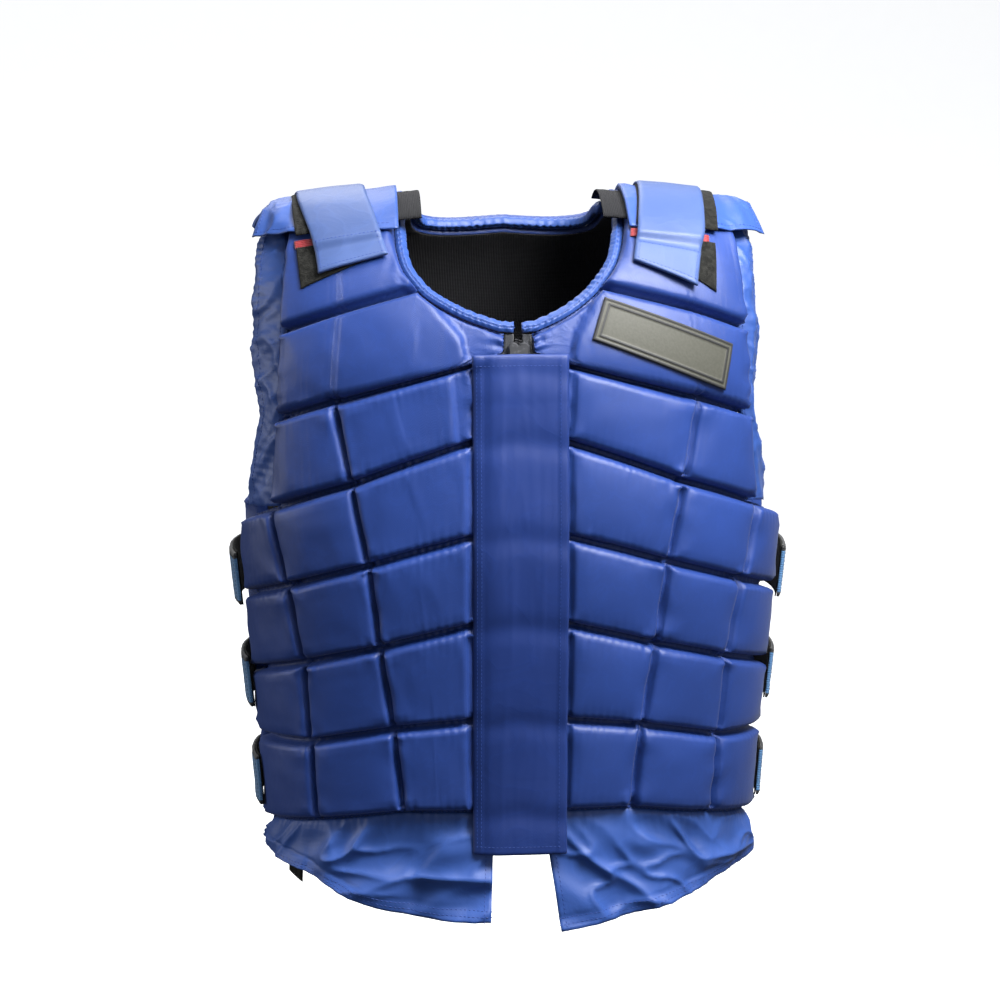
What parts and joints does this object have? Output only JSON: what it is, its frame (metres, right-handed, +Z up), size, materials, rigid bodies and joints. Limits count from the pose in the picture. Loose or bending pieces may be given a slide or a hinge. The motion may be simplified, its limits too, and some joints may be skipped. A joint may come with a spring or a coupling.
{
  "type": "equestrian body protector",
  "caption": "Quilted padded riding vest with a front zip under a cover flap, shoulder and side straps, gathered armholes and a loose skirt hem.",
  "frame": {"origin": "middle of the body at the level of the wearer's shoulders, where the vest hangs from the shoulders", "axes": "+X towards the wearer's left, +Y towards the wearer's back, +Z up; the front faces -Y"},
  "size_m": [0.4236, 0.2558, 0.5457],
  "materials": {
    "nylon": "satin woven nylon",
    "flap_nylon": "matt woven nylon",
    "shoulder_webbing": "satin woven nylon",
    "side_webbing": "brushed elastic webbing",
    "lining": "matt open mesh",
    "touch_tape": "matt looped pile",
    "red_tape": "matt woven tape",
    "label_rubber": "satin moulded",
    "zip_tape": "matt woven tape",
    "zip_coil": "satin moulded coil",
    "zip_metal": "dark enamel"
  },
  "bodies": {
    "root": {"back_left_armhole_band": "nylon", "back_lining": "lining", "back_neck_binding": "nylon", "back_panel": "nylon", "back_right_armhole_band": "nylon", "back_skirt": "nylon", "front_left_armhole_band": "nylon", "front_left_lining": "lining", "front_left_neck_binding": "nylon", "front_left_panel": "nylon", "front_left_skirt": "nylon", "front_loop_patch_left": "touch_tape", "front_loop_patch_right": "touch_tape", "front_right_armhole_band": "nylon", "front_right_lining": "lining", "front_right_neck_binding": "nylon", "front_right_panel": "nylon", "front_right_skirt": "nylon", "hem_tab": "touch_tape", "label_patch": "label_rubber", "red_tape_left": "red_tape", "red_tape_right": "red_tape", "shoulder_strap_left": "shoulder_webbing", "shoulder_strap_right": "shoulder_webbing", "shoulder_tape_left": "touch_tape", "shoulder_tape_right": "touch_tape", "shoulder_wing_left": "nylon", "shoulder_wing_right": "nylon", "side_strap_hook_left_1": "touch_tape", "side_strap_hook_left_2": "touch_tape", "side_strap_hook_left_3": "touch_tape", "side_strap_hook_right_1": "touch_tape", "side_strap_hook_right_2": "touch_tape", "side_strap_hook_right_3": "touch_tape", "side_strap_left_1": "side_webbing", "side_strap_left_2": "side_webbing", "side_strap_left_3": "side_webbing", "side_strap_right_1": "side_webbing", "side_strap_right_2": "side_webbing", "side_strap_right_3": "side_webbing", "wing_lining_left": "lining", "wing_lining_right": "lining", "zip_cover_flap": "flap_nylon", "zip_pull": "zip_metal", "zip_slider": "zip_metal", "zip_tape_left": "zip_tape", "zip_tape_right": "zip_tape", "zip_teeth": "zip_coil"}
  },
  "joints": []
}
